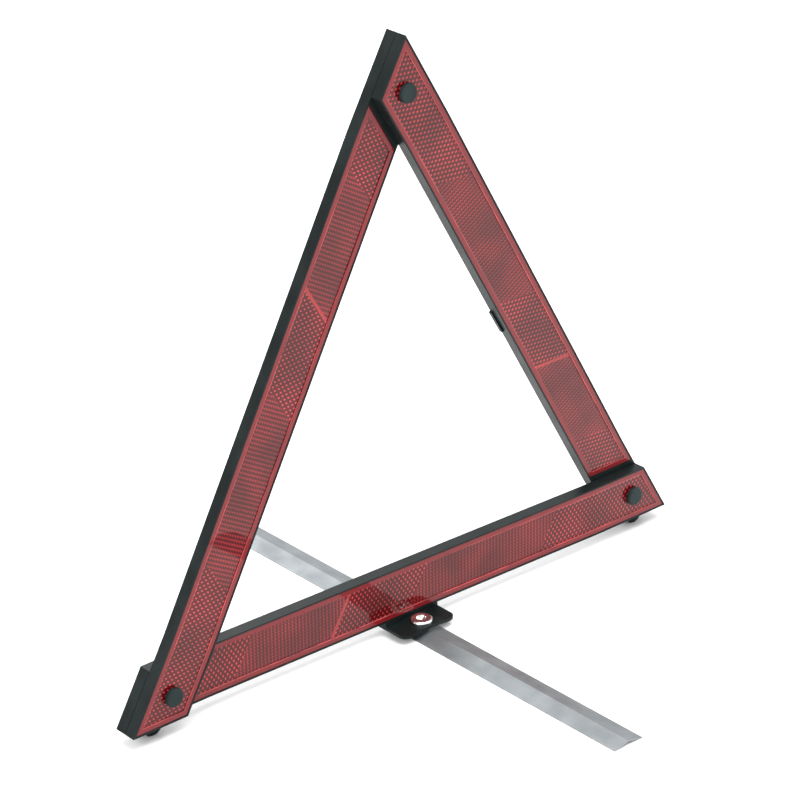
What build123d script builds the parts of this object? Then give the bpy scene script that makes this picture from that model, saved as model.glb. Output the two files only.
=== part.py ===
"""Folding warning triangle: three lensed arms woven at the corners, on a turning cross leg.

Each arm runs in a slight S, from the back layer at its bare end to the front layer at its over end.

Millimetres. +Z up, +X to the right along the base arm, -Y towards the viewer of the lenses.
The origin is on the floor under the pivot of the cross leg.
"""
import os
from math import cos, radians, sin, sqrt
from build123d import *

# Driving dimensions of the triangle
SIDE = 430.0            # outer side, tip to tip
ARM_WIDTH = 34.0
ARM_DEPTH = 8.2
LAYER_GAP = 0.35        # between the two arms of a corner
FLAT_END = 62.0         # stretch at each end that lies flat in its layer
BASE_HEIGHT = 9.0       # lower edge of the base arm above the floor
PLANE_Y = 12.9          # middle plane of the woven arms, behind the leg pivot

# Arm moulding
RIM = 1.1               # thin rim around the lens
TRAY_DEPTH = 2.8
BARE_LENGTH = 42.0      # lensless end, measured along the arm
LENS_GAP = 0.15
LENS_DEPTH = 2.5
BORDER = 3.0            # raised border of the lens
PANEL_SINK = 0.5        # lens panel below its border
HOLE_RADIUS = 4.0
BOSS_RADIUS = 8.0
BOSS_HEIGHT = 1.0
BOSS_CLEARANCE = 0.5    # in the counterbore behind the over end
SLOT_LENGTH, SLOT_WIDTH = 18.0, 2.6
SLOT_BACK = 5.5         # from the middle of the slot to the lens
POCKETS = 9
POCKETS_FROM = 68.0     # from the tip of the bare end
POCKETS_TO = 62.0       # from the tip of the over end
POCKET_DEPTH = 3.2
POCKET_RIB = 2.0
POCKET_WALL = 2.2

# Pivot studs
FIT = 0.06              # radial running clearance
HEAD_RADIUS, HEAD_HEIGHT = 6.0, 2.8
SHANK_RADIUS = HOLE_RADIUS - FIT
CAP_RADIUS, CAP_HEIGHT = 5.6, 1.4

# Foot lobes
LOBE_RADIUS = 7.0
LOBE_INSET = 20.0       # from the tip of the corner
LOBE_ROOT = 6.0         # overlap with the arm

# Keeper lug on the inner back edge of the right arm
KEEPER_LENGTH, KEEPER_DEPTH, KEEPER_HEIGHT = 18.0, 2.5, 1.2

# Leg flange of the base arm, cross leg and its rivet
FLANGE_LENGTH = 42.0
FLANGE_REACH = 17.5     # in front of the base arm
FLANGE_DEPTH = 2.0
FLANGE_UNDER = 4.2      # underside above the floor
SADDLE_RISE = 1.0
SADDLE_WIDTH = 24.0
LEG_LENGTH = 360.0
LEG_WIDTH = 20.0        # inside, between the soles
LEG_SHEET = 0.8
LEG_ARCH = 2.4          # underside of the crease above the floor
LEG_SOLE = 1.2          # flat width on the floor along each edge
LEG_CREASE = 2.0        # outside radius of the crease
RIVET_RADIUS = 3.0
RIVET_HEAD_RADIUS = 7.0
RIVET_HEAD_HEIGHT = 1.8
TAIL_RADIUS = 4.0
TAIL_LOW, TAIL_HIGH = 2.0, 1.15     # below the underside of the leg's crease
WASHER_RADIUS = 6.5
WASHER_PLAY = 0.3       # above the leg
WASHER_TOP_GAP = 0.63   # below the underside of the flange's saddle

PIVOT = (ARM_WIDTH / 2 * sqrt(3), ARM_WIDTH / 2)        # from the outer tip, in the arm's own x, z
SPAN = SIDE - 2 * PIVOT[0]
LAYER = (ARM_DEPTH + LAYER_GAP) / 2                      # middle of a layer from the middle plane
FRONT, BACK = -ARM_DEPTH / 2, ARM_DEPTH / 2


def band(y0, y1):
    """Slab between two depths from the arm's middle, which weaves from the back layer to the front."""
    run = [(-1, LAYER), (FLAT_END, LAYER), (SIDE - FLAT_END, -LAYER), (SIDE + 1, -LAYER)]
    near = [(x, y + y0, -1) for x, y in run]
    far = [(x, y + y1, -1) for x, y in reversed(run)]
    return extrude(make_face(Polyline(*near, *far, close=True)), amount=ARM_WIDTH + 2, dir=(0, 0, 1))


def prism(points, y0, y1):
    """Part of the arm with an x, z outline, from depth y0 back to y1."""
    face = make_face(Polyline(*[(x, -30, z) for x, z in points], close=True))
    return extrude(face, amount=60, dir=(0, 1, 0)) & band(y0, y1)


def rod(radius, y0, y1, x=0.0, z=0.0):
    """Cylinder along +Y."""
    turn = Location((x, (y0 + y1) / 2, z), (90, 0, 0))
    return turn * Cylinder(radius, y1 - y0)


def upright(radius, z0, z1):
    """Cylinder along +Z on the leg's pivot axis."""
    return Pos(0, 0, (z0 + z1) / 2) * Cylinder(radius, z1 - z0)


def outline(inset, bare):
    """Trapezoid of the arm drawn in by inset; its left end starts bare mm along the arm."""
    slant = inset / sin(radians(60))
    low, high = inset, ARM_WIDTH - inset
    left = bare + slant
    right = SIDE - slant
    return [(left + low / sqrt(3), low), (right - low / sqrt(3), low),
            (right - high / sqrt(3), high), (left + high / sqrt(3), high)]


def lobe(x, z, angle):
    """Round foot that sticks out of an edge at x, z, along the direction angle degrees."""
    reach = BASE_HEIGHT - LOBE_RADIUS
    foot = rod(LOBE_RADIUS, FRONT, BACK, reach, 0)
    foot += Pos((reach - LOBE_ROOT) / 2, 0, 0) * Box(
        reach + LOBE_ROOT, ARM_DEPTH, 2 * LOBE_RADIUS)
    return Location((x, LAYER, z), (0, -angle, 0)) * foot


def place(piece, turns):
    """Puts a piece of an arm's own frame into the woven triangle, turns thirds of a turn round."""
    centre = SIDE / sqrt(12)
    own = Pos(-SIDE / 2, 0, -centre) * piece
    return Pos(0, PLANE_Y, BASE_HEIGHT + centre) * Rot(0, -120 * turns, 0) * own


def corner_point(turns):
    """Pivot point of the corner at the bare end of the arm placed with turns."""
    spread = SPAN / sqrt(3)
    angle = radians(210 + 120 * turns)
    centre = BASE_HEIGHT + SIDE / sqrt(12)
    return Vector(spread * cos(angle), PLANE_Y, centre + spread * sin(angle))


def on_corner(piece, turns):
    """Stands a piece made along +Y at the origin on a corner's pivot axis."""
    return Location(corner_point(turns)) * piece


def bore(turns):
    """Cutter for the hole through both arms of a corner."""
    return on_corner(rod(HOLE_RADIUS, -20, 20), turns)


def arm_blank():
    """Tray, bare end with boss and slot, and a ribbed back, in the arm's own frame."""
    arm = prism(outline(0, 0), FRONT, BACK)
    arm -= prism(outline(RIM, BARE_LENGTH), FRONT, FRONT + TRAY_DEPTH)
    arm += rod(BOSS_RADIUS, LAYER + FRONT - BOSS_HEIGHT, LAYER, *PIVOT)
    seat_y = BACK - LAYER - BOSS_HEIGHT - BOSS_CLEARANCE + LAYER_GAP
    arm -= rod(BOSS_RADIUS + BOSS_CLEARANCE, seat_y, BACK, SIDE - PIVOT[0], PIVOT[1])
    slot_x = BARE_LENGTH - SLOT_BACK + PIVOT[1] / sqrt(3)
    slot = Box(SLOT_LENGTH, 3 * ARM_DEPTH, SLOT_WIDTH)
    arm -= Location((slot_x, 0, PIVOT[1]), (0, -60, 0)) * slot
    pitch = (SIDE - POCKETS_FROM - POCKETS_TO) / POCKETS
    for i in range(POCKETS):
        left = POCKETS_FROM + i * pitch + POCKET_RIB / 2
        right = left + pitch - POCKET_RIB
        low, high = POCKET_WALL, ARM_WIDTH - POCKET_WALL
        arm -= prism([(left, low), (right, low), (right, high), (left, high)],
                     BACK - POCKET_DEPTH, BACK)
    return arm


def lens():
    """Red plate with a raised border, in the arm's own frame."""
    back = FRONT + TRAY_DEPTH
    plate = prism(outline(RIM + LENS_GAP, BARE_LENGTH), back - LENS_DEPTH, back)
    panel = outline(RIM + LENS_GAP + BORDER, BARE_LENGTH)
    plate -= prism(panel, back - LENS_DEPTH, back - LENS_DEPTH + PANEL_SINK)
    return plate


def flange():
    """Mid-length pad and shelf that carry the cross leg, in the triangle's frame."""
    arm_front, arm_back = PLANE_Y + FRONT, PLANE_Y + BACK
    top = FLANGE_UNDER + FLANGE_DEPTH
    pad = Pos(0, PLANE_Y, (FLANGE_UNDER + BASE_HEIGHT + 1) / 2) * Box(
        FLANGE_LENGTH, ARM_DEPTH, BASE_HEIGHT + 1 - FLANGE_UNDER)
    shelf_deep = FLANGE_REACH + ARM_DEPTH
    shelf = Pos(0, arm_back - shelf_deep / 2, (FLANGE_UNDER + top) / 2) * Box(
        FLANGE_LENGTH, shelf_deep, FLANGE_DEPTH)
    front_edges = shelf.edges().filter_by(Axis.Z).sort_by(Axis.Y)[:2]
    shelf = fillet(front_edges, 5.0)
    radius = (SADDLE_WIDTH ** 2 / 4 + SADDLE_RISE ** 2) / (2 * SADDLE_RISE)
    long = FLANGE_REACH - 0.01
    hump = rod(radius, arm_front - long, arm_front, 0, top + SADDLE_RISE - radius)
    hollow = rod(radius, arm_front - long - 1, arm_front - 2, 0,
                 FLANGE_UNDER + SADDLE_RISE - radius)
    above = Pos(0, 0, top + 5) * Box(SADDLE_WIDTH, 80, 10)
    below = Pos(0, 0, FLANGE_UNDER + 5) * Box(SADDLE_WIDTH, 80, 10)
    return (pad + shelf + (hump & above)) - (hollow & below)


def corner_stud(depth):
    """Domed head and shank; the head's underside is at y = 0 and the shank runs back."""
    head = rod(HEAD_RADIUS, -HEAD_HEIGHT, 0)
    head = fillet(head.edges().sort_by(Axis.Y)[:1], 1.2)
    return head + rod(SHANK_RADIUS, 0, depth)


def stud_cap():
    """Push-on retainer behind a stud; its front is at y = 0."""
    cap = rod(CAP_RADIUS, 0, CAP_HEIGHT)
    return fillet(cap.edges().sort_by(Axis.Y)[-1:], 0.6)


def leg():
    """Steel strip along Y, creased along its middle, with the rivet hole; its edges are on the floor."""
    inner = LEG_WIDTH / 2
    outer = inner + LEG_SOLE
    slope = LEG_ARCH / inner
    top = LEG_ARCH + LEG_SHEET
    section = [(-outer, 0), (-outer, top - slope * outer), (0, top), (outer, top - slope * outer),
               (outer, 0), (inner, 0), (0, LEG_ARCH), (-inner, 0)]
    points = [(x, -LEG_LENGTH / 2, z) for x, z in section]
    face = make_face(Polyline(*points, close=True))
    strip = extrude(face, amount=LEG_LENGTH, dir=(0, 1, 0))
    crease = strip.edges().filter_by(Axis.Y).sort_by(Axis.Z)[-1:]
    strip = fillet(crease, LEG_CREASE)
    return strip - upright(RIVET_RADIUS + FIT, -5, 10)


def leg_rivet():
    """Hollow rivet: rolled head on the saddle and a clinched tail under the leg's crease."""
    seat = FLANGE_UNDER + FLANGE_DEPTH + SADDLE_RISE
    rivet = upright(RIVET_RADIUS, LEG_ARCH - (TAIL_LOW + TAIL_HIGH) / 2, seat + 1.0)
    head = upright(RIVET_HEAD_RADIUS, seat + 0.02, seat + RIVET_HEAD_HEIGHT)
    head = fillet(head.edges().sort_by(Axis.Z)[-1:], 1.3)
    tail = upright(TAIL_RADIUS, LEG_ARCH - TAIL_LOW, LEG_ARCH - TAIL_HIGH)
    cup = Pos(0, 0, seat + 3.0) * Sphere(3.4)
    return rivet + head + tail - cup


def write(name, piece):
    export_step(piece, f"parts/{name}.step")


os.makedirs("parts", exist_ok=True)
blank = arm_blank()
bare_foot = lobe(LOBE_INSET, 0, -90)
cut_foot = lobe(LOBE_INSET * 0.5, LOBE_INSET * sqrt(3) / 2, 150)
keeper = Pos(SIDE / 2, BACK - KEEPER_DEPTH / 2, ARM_WIDTH) * Box(
    KEEPER_LENGTH, KEEPER_DEPTH, 2 * KEEPER_HEIGHT)

# Corners by the arm whose bare end is there: 0 left, 1 right, 2 apex.
left_corner, right_corner, apex = 0, 1, 2
base_arm = place(blank + bare_foot, 0) + flange()
base_arm -= upright(RIVET_RADIUS + FIT, 0, 20)
base_arm -= bore(left_corner)
base_arm -= bore(right_corner)
right_arm = place(blank + cut_foot + keeper, 1) - bore(right_corner) - bore(apex)
left_arm = place(blank, 2) - bore(apex) - bore(left_corner)
write("base_arm", base_arm)
write("right_arm", right_arm)
write("left_arm", left_arm)

# Lenses: the over end of each arm is at the corner after its bare end.
plate = lens()
write("base_lens", place(plate, 0) - bore(right_corner))
write("right_lens", place(plate, 1) - bore(apex))
write("left_lens", place(plate, 2) - bore(left_corner))

# Studs: the head stands on the lens, over the front arm of its corner.
head_seat = -(ARM_DEPTH + LAYER_GAP / 2)
tail_seat = ARM_DEPTH + LAYER_GAP / 2 + 0.1
through = tail_seat - head_seat
write("left_pivot_stud", on_corner(Pos(0, head_seat, 0) * corner_stud(through), left_corner))
write("right_pivot_stud", on_corner(Pos(0, head_seat, 0) * corner_stud(through), right_corner))
write("apex_stud", on_corner(Pos(0, head_seat, 0) * corner_stud(ARM_DEPTH - 0.3), apex))
write("left_stud_cap", on_corner(Pos(0, tail_seat, 0) * stud_cap(), left_corner))
write("right_stud_cap", on_corner(Pos(0, tail_seat, 0) * stud_cap(), right_corner))

write("stand_leg", leg())
washer_top = FLANGE_UNDER + SADDLE_RISE - WASHER_TOP_GAP
washer = upright(WASHER_RADIUS, LEG_ARCH + LEG_SHEET + WASHER_PLAY, washer_top)
write("leg_washer", washer - upright(RIVET_RADIUS + FIT, 0, 20))
write("leg_rivet", leg_rivet())
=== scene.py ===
"""Looks of the folding warning triangle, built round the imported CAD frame. Metres, +Z up."""
from math import cos, radians, sin, sqrt, tau

import bpy
from mathutils import Matrix, Vector


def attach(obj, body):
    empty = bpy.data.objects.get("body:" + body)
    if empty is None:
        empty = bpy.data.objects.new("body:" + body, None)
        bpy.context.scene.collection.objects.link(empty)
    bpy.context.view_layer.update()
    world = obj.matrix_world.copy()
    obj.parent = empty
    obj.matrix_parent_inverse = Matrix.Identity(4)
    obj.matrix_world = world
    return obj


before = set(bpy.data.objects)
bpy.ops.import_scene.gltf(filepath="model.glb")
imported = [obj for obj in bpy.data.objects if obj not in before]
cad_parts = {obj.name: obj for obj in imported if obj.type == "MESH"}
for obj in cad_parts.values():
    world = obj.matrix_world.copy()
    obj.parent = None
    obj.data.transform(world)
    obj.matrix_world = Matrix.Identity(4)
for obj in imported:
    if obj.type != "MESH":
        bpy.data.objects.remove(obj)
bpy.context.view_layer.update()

# Sizes of the woven triangle, as in the CAD model
SIDE = 0.430
ARM_WIDTH = 0.034
ARM_DEPTH = 0.0082
LAYER_GAP = 0.00035
FLAT_END = 0.062                        # stretch at each end that lies flat in its layer
BASE_HEIGHT = 0.009
PLANE_Y = 0.0129
BARE_LENGTH = 0.042
RIM = 0.0011
BORDER = 0.0030
SLANT = 1 / sqrt(3)                     # run along the arm of a cut end, for each step across it
LENS_GAP = 0.00015
LENS_FRONT = -ARM_DEPTH / 2 + 0.0003    # from the middle of the arm
LAYER = (ARM_DEPTH + LAYER_GAP) / 2
CENTRE = SIDE / sqrt(12)

# Lens pattern: places along the arm, then the pitch of its dots, rows and row cells
BARE_DOTS_END = 0.078
SEAM = 0.151
SEAM_HALF = 0.0012
MIDDLE_DOTS_END = 0.212
OVER_DOTS_START = 0.318
DOTS_ALONG, DOTS_ACROSS = 0.0033, 0.0048
ROW_PITCH, ROW_CELL, ROW_ZIGZAG = 0.0026, 0.0022, 0.75
SOFT = 0.0003                           # half width of a soft edge
FADE = 0.0004                           # width of the pattern's fade at the slanting ends

# The arm in each place: lens node, arm node, body, thirds of a turn
ARMS = [("base_lens", "base_arm", "base", 0),
        ("right_lens", "right_arm", "right_side", 1),
        ("left_lens", "left_arm", "left_side", 2)]


def arm_matrix(turns):
    """From an arm's own frame (x along, y depth, z across) to the triangle."""
    own = Matrix.Translation((-SIDE / 2, 0, -CENTRE))
    turn = Matrix.Rotation(radians(-120 * turns), 4, "Y")
    return Matrix.Translation((0, PLANE_Y, BASE_HEIGHT + CENTRE)) @ turn @ own


def weave(x):
    """Depth of an arm's middle at x along it: back layer, slope, front layer."""
    part = (x - FLAT_END) / (SIDE - 2 * FLAT_END)
    return LAYER * (1 - 2 * min(1.0, max(0.0, part)))


# ---- node helpers ----

class Nodes:
    """A material's node tree with short calls."""

    def __init__(self, name):
        self.material = bpy.data.materials.new(name)
        self.material.use_nodes = True
        self.tree = self.material.node_tree
        self.shader = self.tree.nodes["Principled BSDF"]

    def add(self, kind, **settings):
        node = self.tree.nodes.new(kind)
        for key, value in settings.items():
            setattr(node, key, value)
        return node

    def link(self, source, target):
        self.tree.links.new(source, target)

    def put(self, socket, value):
        if hasattr(value, "links"):
            self.link(value, socket)
        else:
            socket.default_value = value

    def set(self, **values):
        for key, value in values.items():
            self.shader.inputs[key.replace("_", " ")].default_value = value

    def math(self, operation, a, b=0.0, c=0.0):
        node = self.add("ShaderNodeMath", operation=operation)
        for socket, value in zip(node.inputs, (a, b, c)):
            self.put(socket, value)
        return node.outputs[0]

    def place(self):
        return self.add("ShaderNodeTexCoord").outputs["Object"]

    def noise(self, vector, scale, detail=3.0):
        node = self.add("ShaderNodeTexNoise")
        node.inputs["Scale"].default_value = scale
        node.inputs["Detail"].default_value = detail
        self.link(vector, node.inputs["Vector"])
        return node.outputs["Fac"]

    def range(self, value, low, high, to_low, to_high):
        node = self.add("ShaderNodeMapRange")
        for key, number in zip(range(1, 5), (low, high, to_low, to_high)):
            node.inputs[key].default_value = number
        self.put(node.inputs[0], value)
        return node.outputs[0]

    def mix(self, factor, a, b):
        node = self.add("ShaderNodeMix", data_type="RGBA")
        self.put(node.inputs["Factor"], factor)
        for socket, value in ((node.inputs[6], a), (node.inputs[7], b)):
            self.put(socket, value)
        return node.outputs[2]

    def bump(self, height, distance, strength=1.0):
        node = self.add("ShaderNodeBump")
        node.inputs["Distance"].default_value = distance
        node.inputs["Strength"].default_value = strength
        self.link(height, node.inputs["Height"])
        return node.outputs["Normal"]


# ---- materials ----

def black_plastic(name, dark, light, rough):
    """Satin moulded plastic: fine grain and cloudy gloss."""
    n = Nodes(name)
    at = n.place()
    grain = n.noise(at, 2600.0)
    cloud = n.noise(at, 45.0, 2.0)
    n.link(n.mix(n.range(cloud, 0.35, 0.65, 0, 1), dark, light), n.shader.inputs["Base Color"])
    n.link(n.range(cloud, 0.3, 0.7, rough - 0.05, rough + 0.08), n.shader.inputs["Roughness"])
    n.link(n.bump(grain, 0.00006, 0.5), n.shader.inputs["Normal"])
    n.set(Specular_IOR_Level=0.14)
    return n.material


def lens_red(name, turns):
    """Clear red plate over prisms: panels of staggered dots and of cross rows under a smooth coat; the
    prism pattern is real, its bright red is painted glint.
    """
    n = Nodes(name)
    back = arm_matrix(turns).inverted()
    turn = n.add("ShaderNodeMapping", vector_type="POINT")
    turn.inputs["Location"].default_value = back.to_translation()
    turn.inputs["Rotation"].default_value = back.to_euler()
    n.link(n.place(), turn.inputs["Vector"])
    own = n.add("ShaderNodeSeparateXYZ")
    n.link(turn.outputs[0], own.inputs[0])
    along, across = own.outputs["X"], own.outputs["Z"]

    def between(value, low, high, soft=SOFT):
        rise = n.range(value, low - soft, low + soft, 0, 1)
        fall = n.range(value, high - soft, high + soft, 1, 0)
        return n.math("MULTIPLY", rise, fall)

    def wave(value, pitch):
        return n.math("COSINE", n.math("MULTIPLY", value, tau / pitch))

    # Panels: dots at both ends and in one middle panel, cross rows in the others.
    skew = n.math("SUBTRACT", along, n.math("MULTIPLY", across, SLANT))
    over_end = between(skew, OVER_DOTS_START, SIDE)
    middle = between(skew, SEAM, MIDDLE_DOTS_END)
    bare_end = between(skew, 0.0, BARE_DOTS_END)
    dotted = n.math("MAXIMUM", n.math("MAXIMUM", over_end, middle), bare_end)
    seam = between(skew, SEAM - SEAM_HALF, SEAM + SEAM_HALF)

    # Staggered dots: the product of two slanting waves.
    steps_along = n.math("DIVIDE", along, DOTS_ALONG)
    steps_across = n.math("DIVIDE", across, DOTS_ACROSS)
    rising = wave(n.math("ADD", steps_along, steps_across), 1.0)
    falling = wave(n.math("SUBTRACT", steps_along, steps_across), 1.0)
    dots = n.math("MULTIPLY", n.range(rising, -1, 1, 0, 1), n.range(falling, -1, 1, 0, 1))
    dot_spot = n.range(dots, 0.35, 0.85, 0, 0.8)

    # Cross rows: a zigzag line across the arm.
    zig = n.math("MULTIPLY", n.math("PINGPONG", across, ROW_CELL / 2), ROW_ZIGZAG)
    row = wave(n.math("ADD", along, zig), ROW_PITCH)
    cell = wave(across, ROW_CELL)
    row_line = n.math("MULTIPLY", n.range(row, 0.0, 0.9, 0, 1), n.range(cell, -1, 1, 0.45, 1))

    # The sunk panel: between the long borders, and short of the slanting border of each end.
    border = RIM + 2 * LENS_GAP + BORDER
    end_border = border / sin(radians(60))
    bare_edge, over_edge = BARE_LENGTH + end_border, SIDE - end_border
    lean = n.math("ADD", along, n.math("MULTIPLY", across, SLANT))
    ends = n.math("MULTIPLY", n.range(skew, bare_edge, bare_edge + FADE, 0, 1),
                  n.range(lean, over_edge - FADE, over_edge, 1, 0))
    inside = n.math("MULTIPLY", between(across, border, ARM_WIDTH - border, 0.0002), ends)
    pattern = n.add("ShaderNodeMix", data_type="FLOAT")
    n.link(dotted, pattern.inputs[0])
    n.link(n.math("MULTIPLY", row_line, 0.42), pattern.inputs[2])
    n.link(dot_spot, pattern.inputs[3])
    cloud = n.noise(turn.outputs[0], 38.0, 1.0)
    # Painted highlight: the dots, rows and seam stand for light glinting off the real prisms, at a
    # level that varies at random.
    prism_pattern_glint = n.math("MULTIPLY", pattern.outputs[0], n.range(cloud, 0.3, 0.7, 0.55, 1.15))
    prism_cells_and_glint = n.math("MULTIPLY", n.math("MAXIMUM", prism_pattern_glint, n.math("MULTIPLY", seam, 0.4)), inside)

    deep = n.mix(n.range(cloud, 0.35, 0.65, 0, 1), (0.052, 0.002, 0.003, 1), (0.082, 0.003, 0.005, 1))
    edge = n.mix(inside, (0.165, 0.009, 0.012, 1), deep)
    # Base colour: painted prism glint in bright red over the lighter border and the deep red panel.
    n.link(n.mix(prism_cells_and_glint, edge, (0.62, 0.050, 0.052, 1)), n.shader.inputs["Base Color"])
    relief = n.math("ADD", n.math("MULTIPLY", prism_cells_and_glint, 0.6), n.noise(turn.outputs[0], 900.0))
    n.link(n.bump(relief, 0.0003, 0.35), n.shader.inputs["Normal"])
    n.set(Roughness=0.4, Specular_IOR_Level=0.05, Coat_Weight=0.65, Coat_Roughness=0.03,
          Coat_IOR=1.5)
    return n.material


def strip_steel(name):
    """Zinc-plated strip: drawn lines along its length and cloudy plating."""
    n = Nodes(name)
    at = n.place()
    stretch = n.add("ShaderNodeMapping")
    stretch.inputs["Scale"].default_value = (900.0, 8.0, 900.0)
    n.link(at, stretch.inputs["Vector"])
    lines = n.noise(stretch.outputs[0], 1.0, 2.0)
    cloud = n.noise(at, 60.0)
    n.link(n.mix(n.range(cloud, 0.3, 0.7, 0, 1), (0.22, 0.24, 0.25, 1), (0.31, 0.33, 0.345, 1)),
           n.shader.inputs["Base Color"])
    n.link(n.range(lines, 0.3, 0.7, 0.38, 0.52), n.shader.inputs["Roughness"])
    n.link(n.bump(lines, 0.00003, 0.5), n.shader.inputs["Normal"])
    n.set(Metallic=0.9)
    return n.material


def bright_steel(name):
    """Turned bright metal of the rivet."""
    n = Nodes(name)
    at = n.place()
    scratch = n.noise(at, 1500.0)
    n.link(n.range(scratch, 0.3, 0.7, 0.10, 0.22), n.shader.inputs["Roughness"])
    n.link(n.mix(n.noise(at, 200.0), (0.78, 0.78, 0.78, 1), (0.92, 0.91, 0.90, 1)),
           n.shader.inputs["Base Color"])
    n.link(n.bump(scratch, 0.00002, 0.3), n.shader.inputs["Normal"])
    n.set(Metallic=1.0)
    return n.material


def finish_node(node, material):
    """Gives a CAD node its procedural material in every slot."""
    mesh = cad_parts[node]
    if not mesh.material_slots:
        mesh.data.materials.append(material)
    for slot in mesh.material_slots:
        slot.material = material


frame_black = black_plastic("arm_black", (0.005, 0.008, 0.008, 1), (0.010, 0.015, 0.015, 1), 0.34)
stud_black = black_plastic("stud_black", (0.008, 0.015, 0.015, 1), (0.018, 0.030, 0.029, 1), 0.50)
strip = strip_steel("zinc_strip")
bright = bright_steel("rivet_steel")

for lens_node, arm_node, body, turns in ARMS:
    finish_node(arm_node, frame_black)
    finish_node(lens_node, lens_red("lens_red_" + body, turns))
for node in ("left_pivot_stud", "right_pivot_stud", "apex_stud", "left_stud_cap",
             "right_stud_cap"):
    finish_node(node, stud_black)
finish_node("stand_leg", strip)
finish_node("leg_rivet", bright)
finish_node("leg_washer", bright)


# ---- lens border bead ----

BEAD_RADIUS = 0.00032
BEAD_SINK = 0.0002      # behind the border's face

def tube_loop(name, points, radius, material):
    """Closed round bead through points."""
    curve = bpy.data.curves.new(name, "CURVE")
    curve.dimensions = "3D"
    curve.bevel_depth = radius
    curve.bevel_resolution = 3
    line = curve.splines.new("POLY")
    line.points.add(len(points) - 1)
    for point, place in zip(line.points, points):
        point.co = (*place, 1)
    line.use_cyclic_u = True
    piece = bpy.data.objects.new(name, curve)
    bpy.context.collection.objects.link(piece)
    curve.materials.append(material)
    return piece


def border_points(turns):
    """Loop along the step between a lens's border and its sunk panel."""
    inset = RIM + LENS_GAP + BORDER
    slant = inset / sin(radians(60))
    low, high = inset, ARM_WIDTH - inset
    left, right = BARE_LENGTH + slant, SIDE - slant
    knees = (FLAT_END, SIDE - FLAT_END)
    lower = [left + low / sqrt(3), *knees, right - low / sqrt(3)]
    upper = [right - high / sqrt(3), *reversed(knees), left + high / sqrt(3)]
    flat = [(x, low) for x in lower] + [(x, high) for x in upper]
    return [arm_matrix(turns) @ Vector((x, weave(x) + LENS_FRONT + BEAD_SINK, z)) for x, z in flat]


def bead_red():
    """Rounded step of the lens: dark clear red and, in random stretches, brighter pink that is a
    painted highlight along the step.
    """
    n = Nodes("bead_red")
    at = n.place()
    cloud = n.noise(at, 70.0, 2.0)
    # Painted highlight: the pink (0.50, 0.040, 0.042) stands for light on the rounded step, in random
    # stretches.
    n.link(n.mix(n.range(cloud, 0.35, 0.65, 0, 1), (0.16, 0.006, 0.009, 1), (0.50, 0.040, 0.042, 1)),
           n.shader.inputs["Base Color"])
    n.link(n.range(n.noise(at, 400.0), 0.3, 0.7, 0.14, 0.30), n.shader.inputs["Roughness"])
    n.link(n.bump(n.noise(at, 1800.0), 0.00003, 0.3), n.shader.inputs["Normal"])
    n.set(Specular_IOR_Level=0.3, Coat_Weight=0.8, Coat_Roughness=0.05)
    return n.material


bead_red_and_highlight = bead_red()
for lens_node, arm_node, body, turns in ARMS:
    bead = tube_loop(lens_node + "_bead", border_points(turns), BEAD_RADIUS, bead_red_and_highlight)
    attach(bead, body)


# ---- floor, light and camera ----

def area_light(name, place, target, size, power):
    data = bpy.data.lights.new(name, "AREA")
    data.shape = "RECTANGLE"
    data.size, data.size_y = size
    data.energy = power
    lamp = bpy.data.objects.new(name, data)
    lamp.location = place
    lamp.rotation_euler = (Vector(target) - Vector(place)).to_track_quat("-Z", "Y").to_euler()
    bpy.context.collection.objects.link(lamp)


FLOOR_SIZE = 30
bpy.ops.mesh.primitive_plane_add(size=FLOOR_SIZE)
floor = bpy.context.object
floor.name = "floor"
pale = Nodes("floor_pale")
pale.set(Base_Color=(0.95, 0.95, 0.95, 1), Roughness=0.8, Specular_IOR_Level=0.1)
floor.data.materials.append(pale.material)

world = bpy.data.worlds.new("studio")
world.use_nodes = True
world.node_tree.nodes["Background"].inputs[0].default_value = (1, 1, 1, 1)
world.node_tree.nodes["Background"].inputs[1].default_value = 1.0
bpy.context.scene.world = world
bpy.context.scene.view_settings.view_transform = "Standard"

MIDDLE = (0.0, 0.0, 0.15)
area_light("top_box", (0.2, -0.3, 1.9), MIDDLE, (1.6, 1.6), 32)
area_light("left_box", (-1.7, -0.5, 0.9), MIDDLE, (0.9, 1.5), 16)
area_light("right_box", (1.7, -1.0, 0.8), MIDDLE, (0.8, 1.4), 10)
area_light("back_box", (0.4, 1.8, 1.1), MIDDLE, (1.6, 0.9), 12)

YAW, PITCH, ROLL = radians(40.44), radians(25.51), radians(-1.14)
DISTANCE = 1.8795
AIM = Vector((-0.010, 0.0042, 0.158))
LENS_MM = 143.472
forward = Vector((sin(YAW) * cos(PITCH), cos(YAW) * cos(PITCH), -sin(PITCH)))
camera_data = bpy.data.cameras.new("camera")
camera_data.lens = LENS_MM
camera_data.sensor_width = 36
camera = bpy.data.objects.new("camera", camera_data)
look = forward.to_track_quat("-Z", "Y").to_matrix().to_4x4()
camera.matrix_world = (Matrix.Translation(AIM - DISTANCE * forward) @ look
                       @ Matrix.Rotation(ROLL, 4, "Z"))
bpy.context.collection.objects.link(camera)
bpy.context.scene.camera = camera
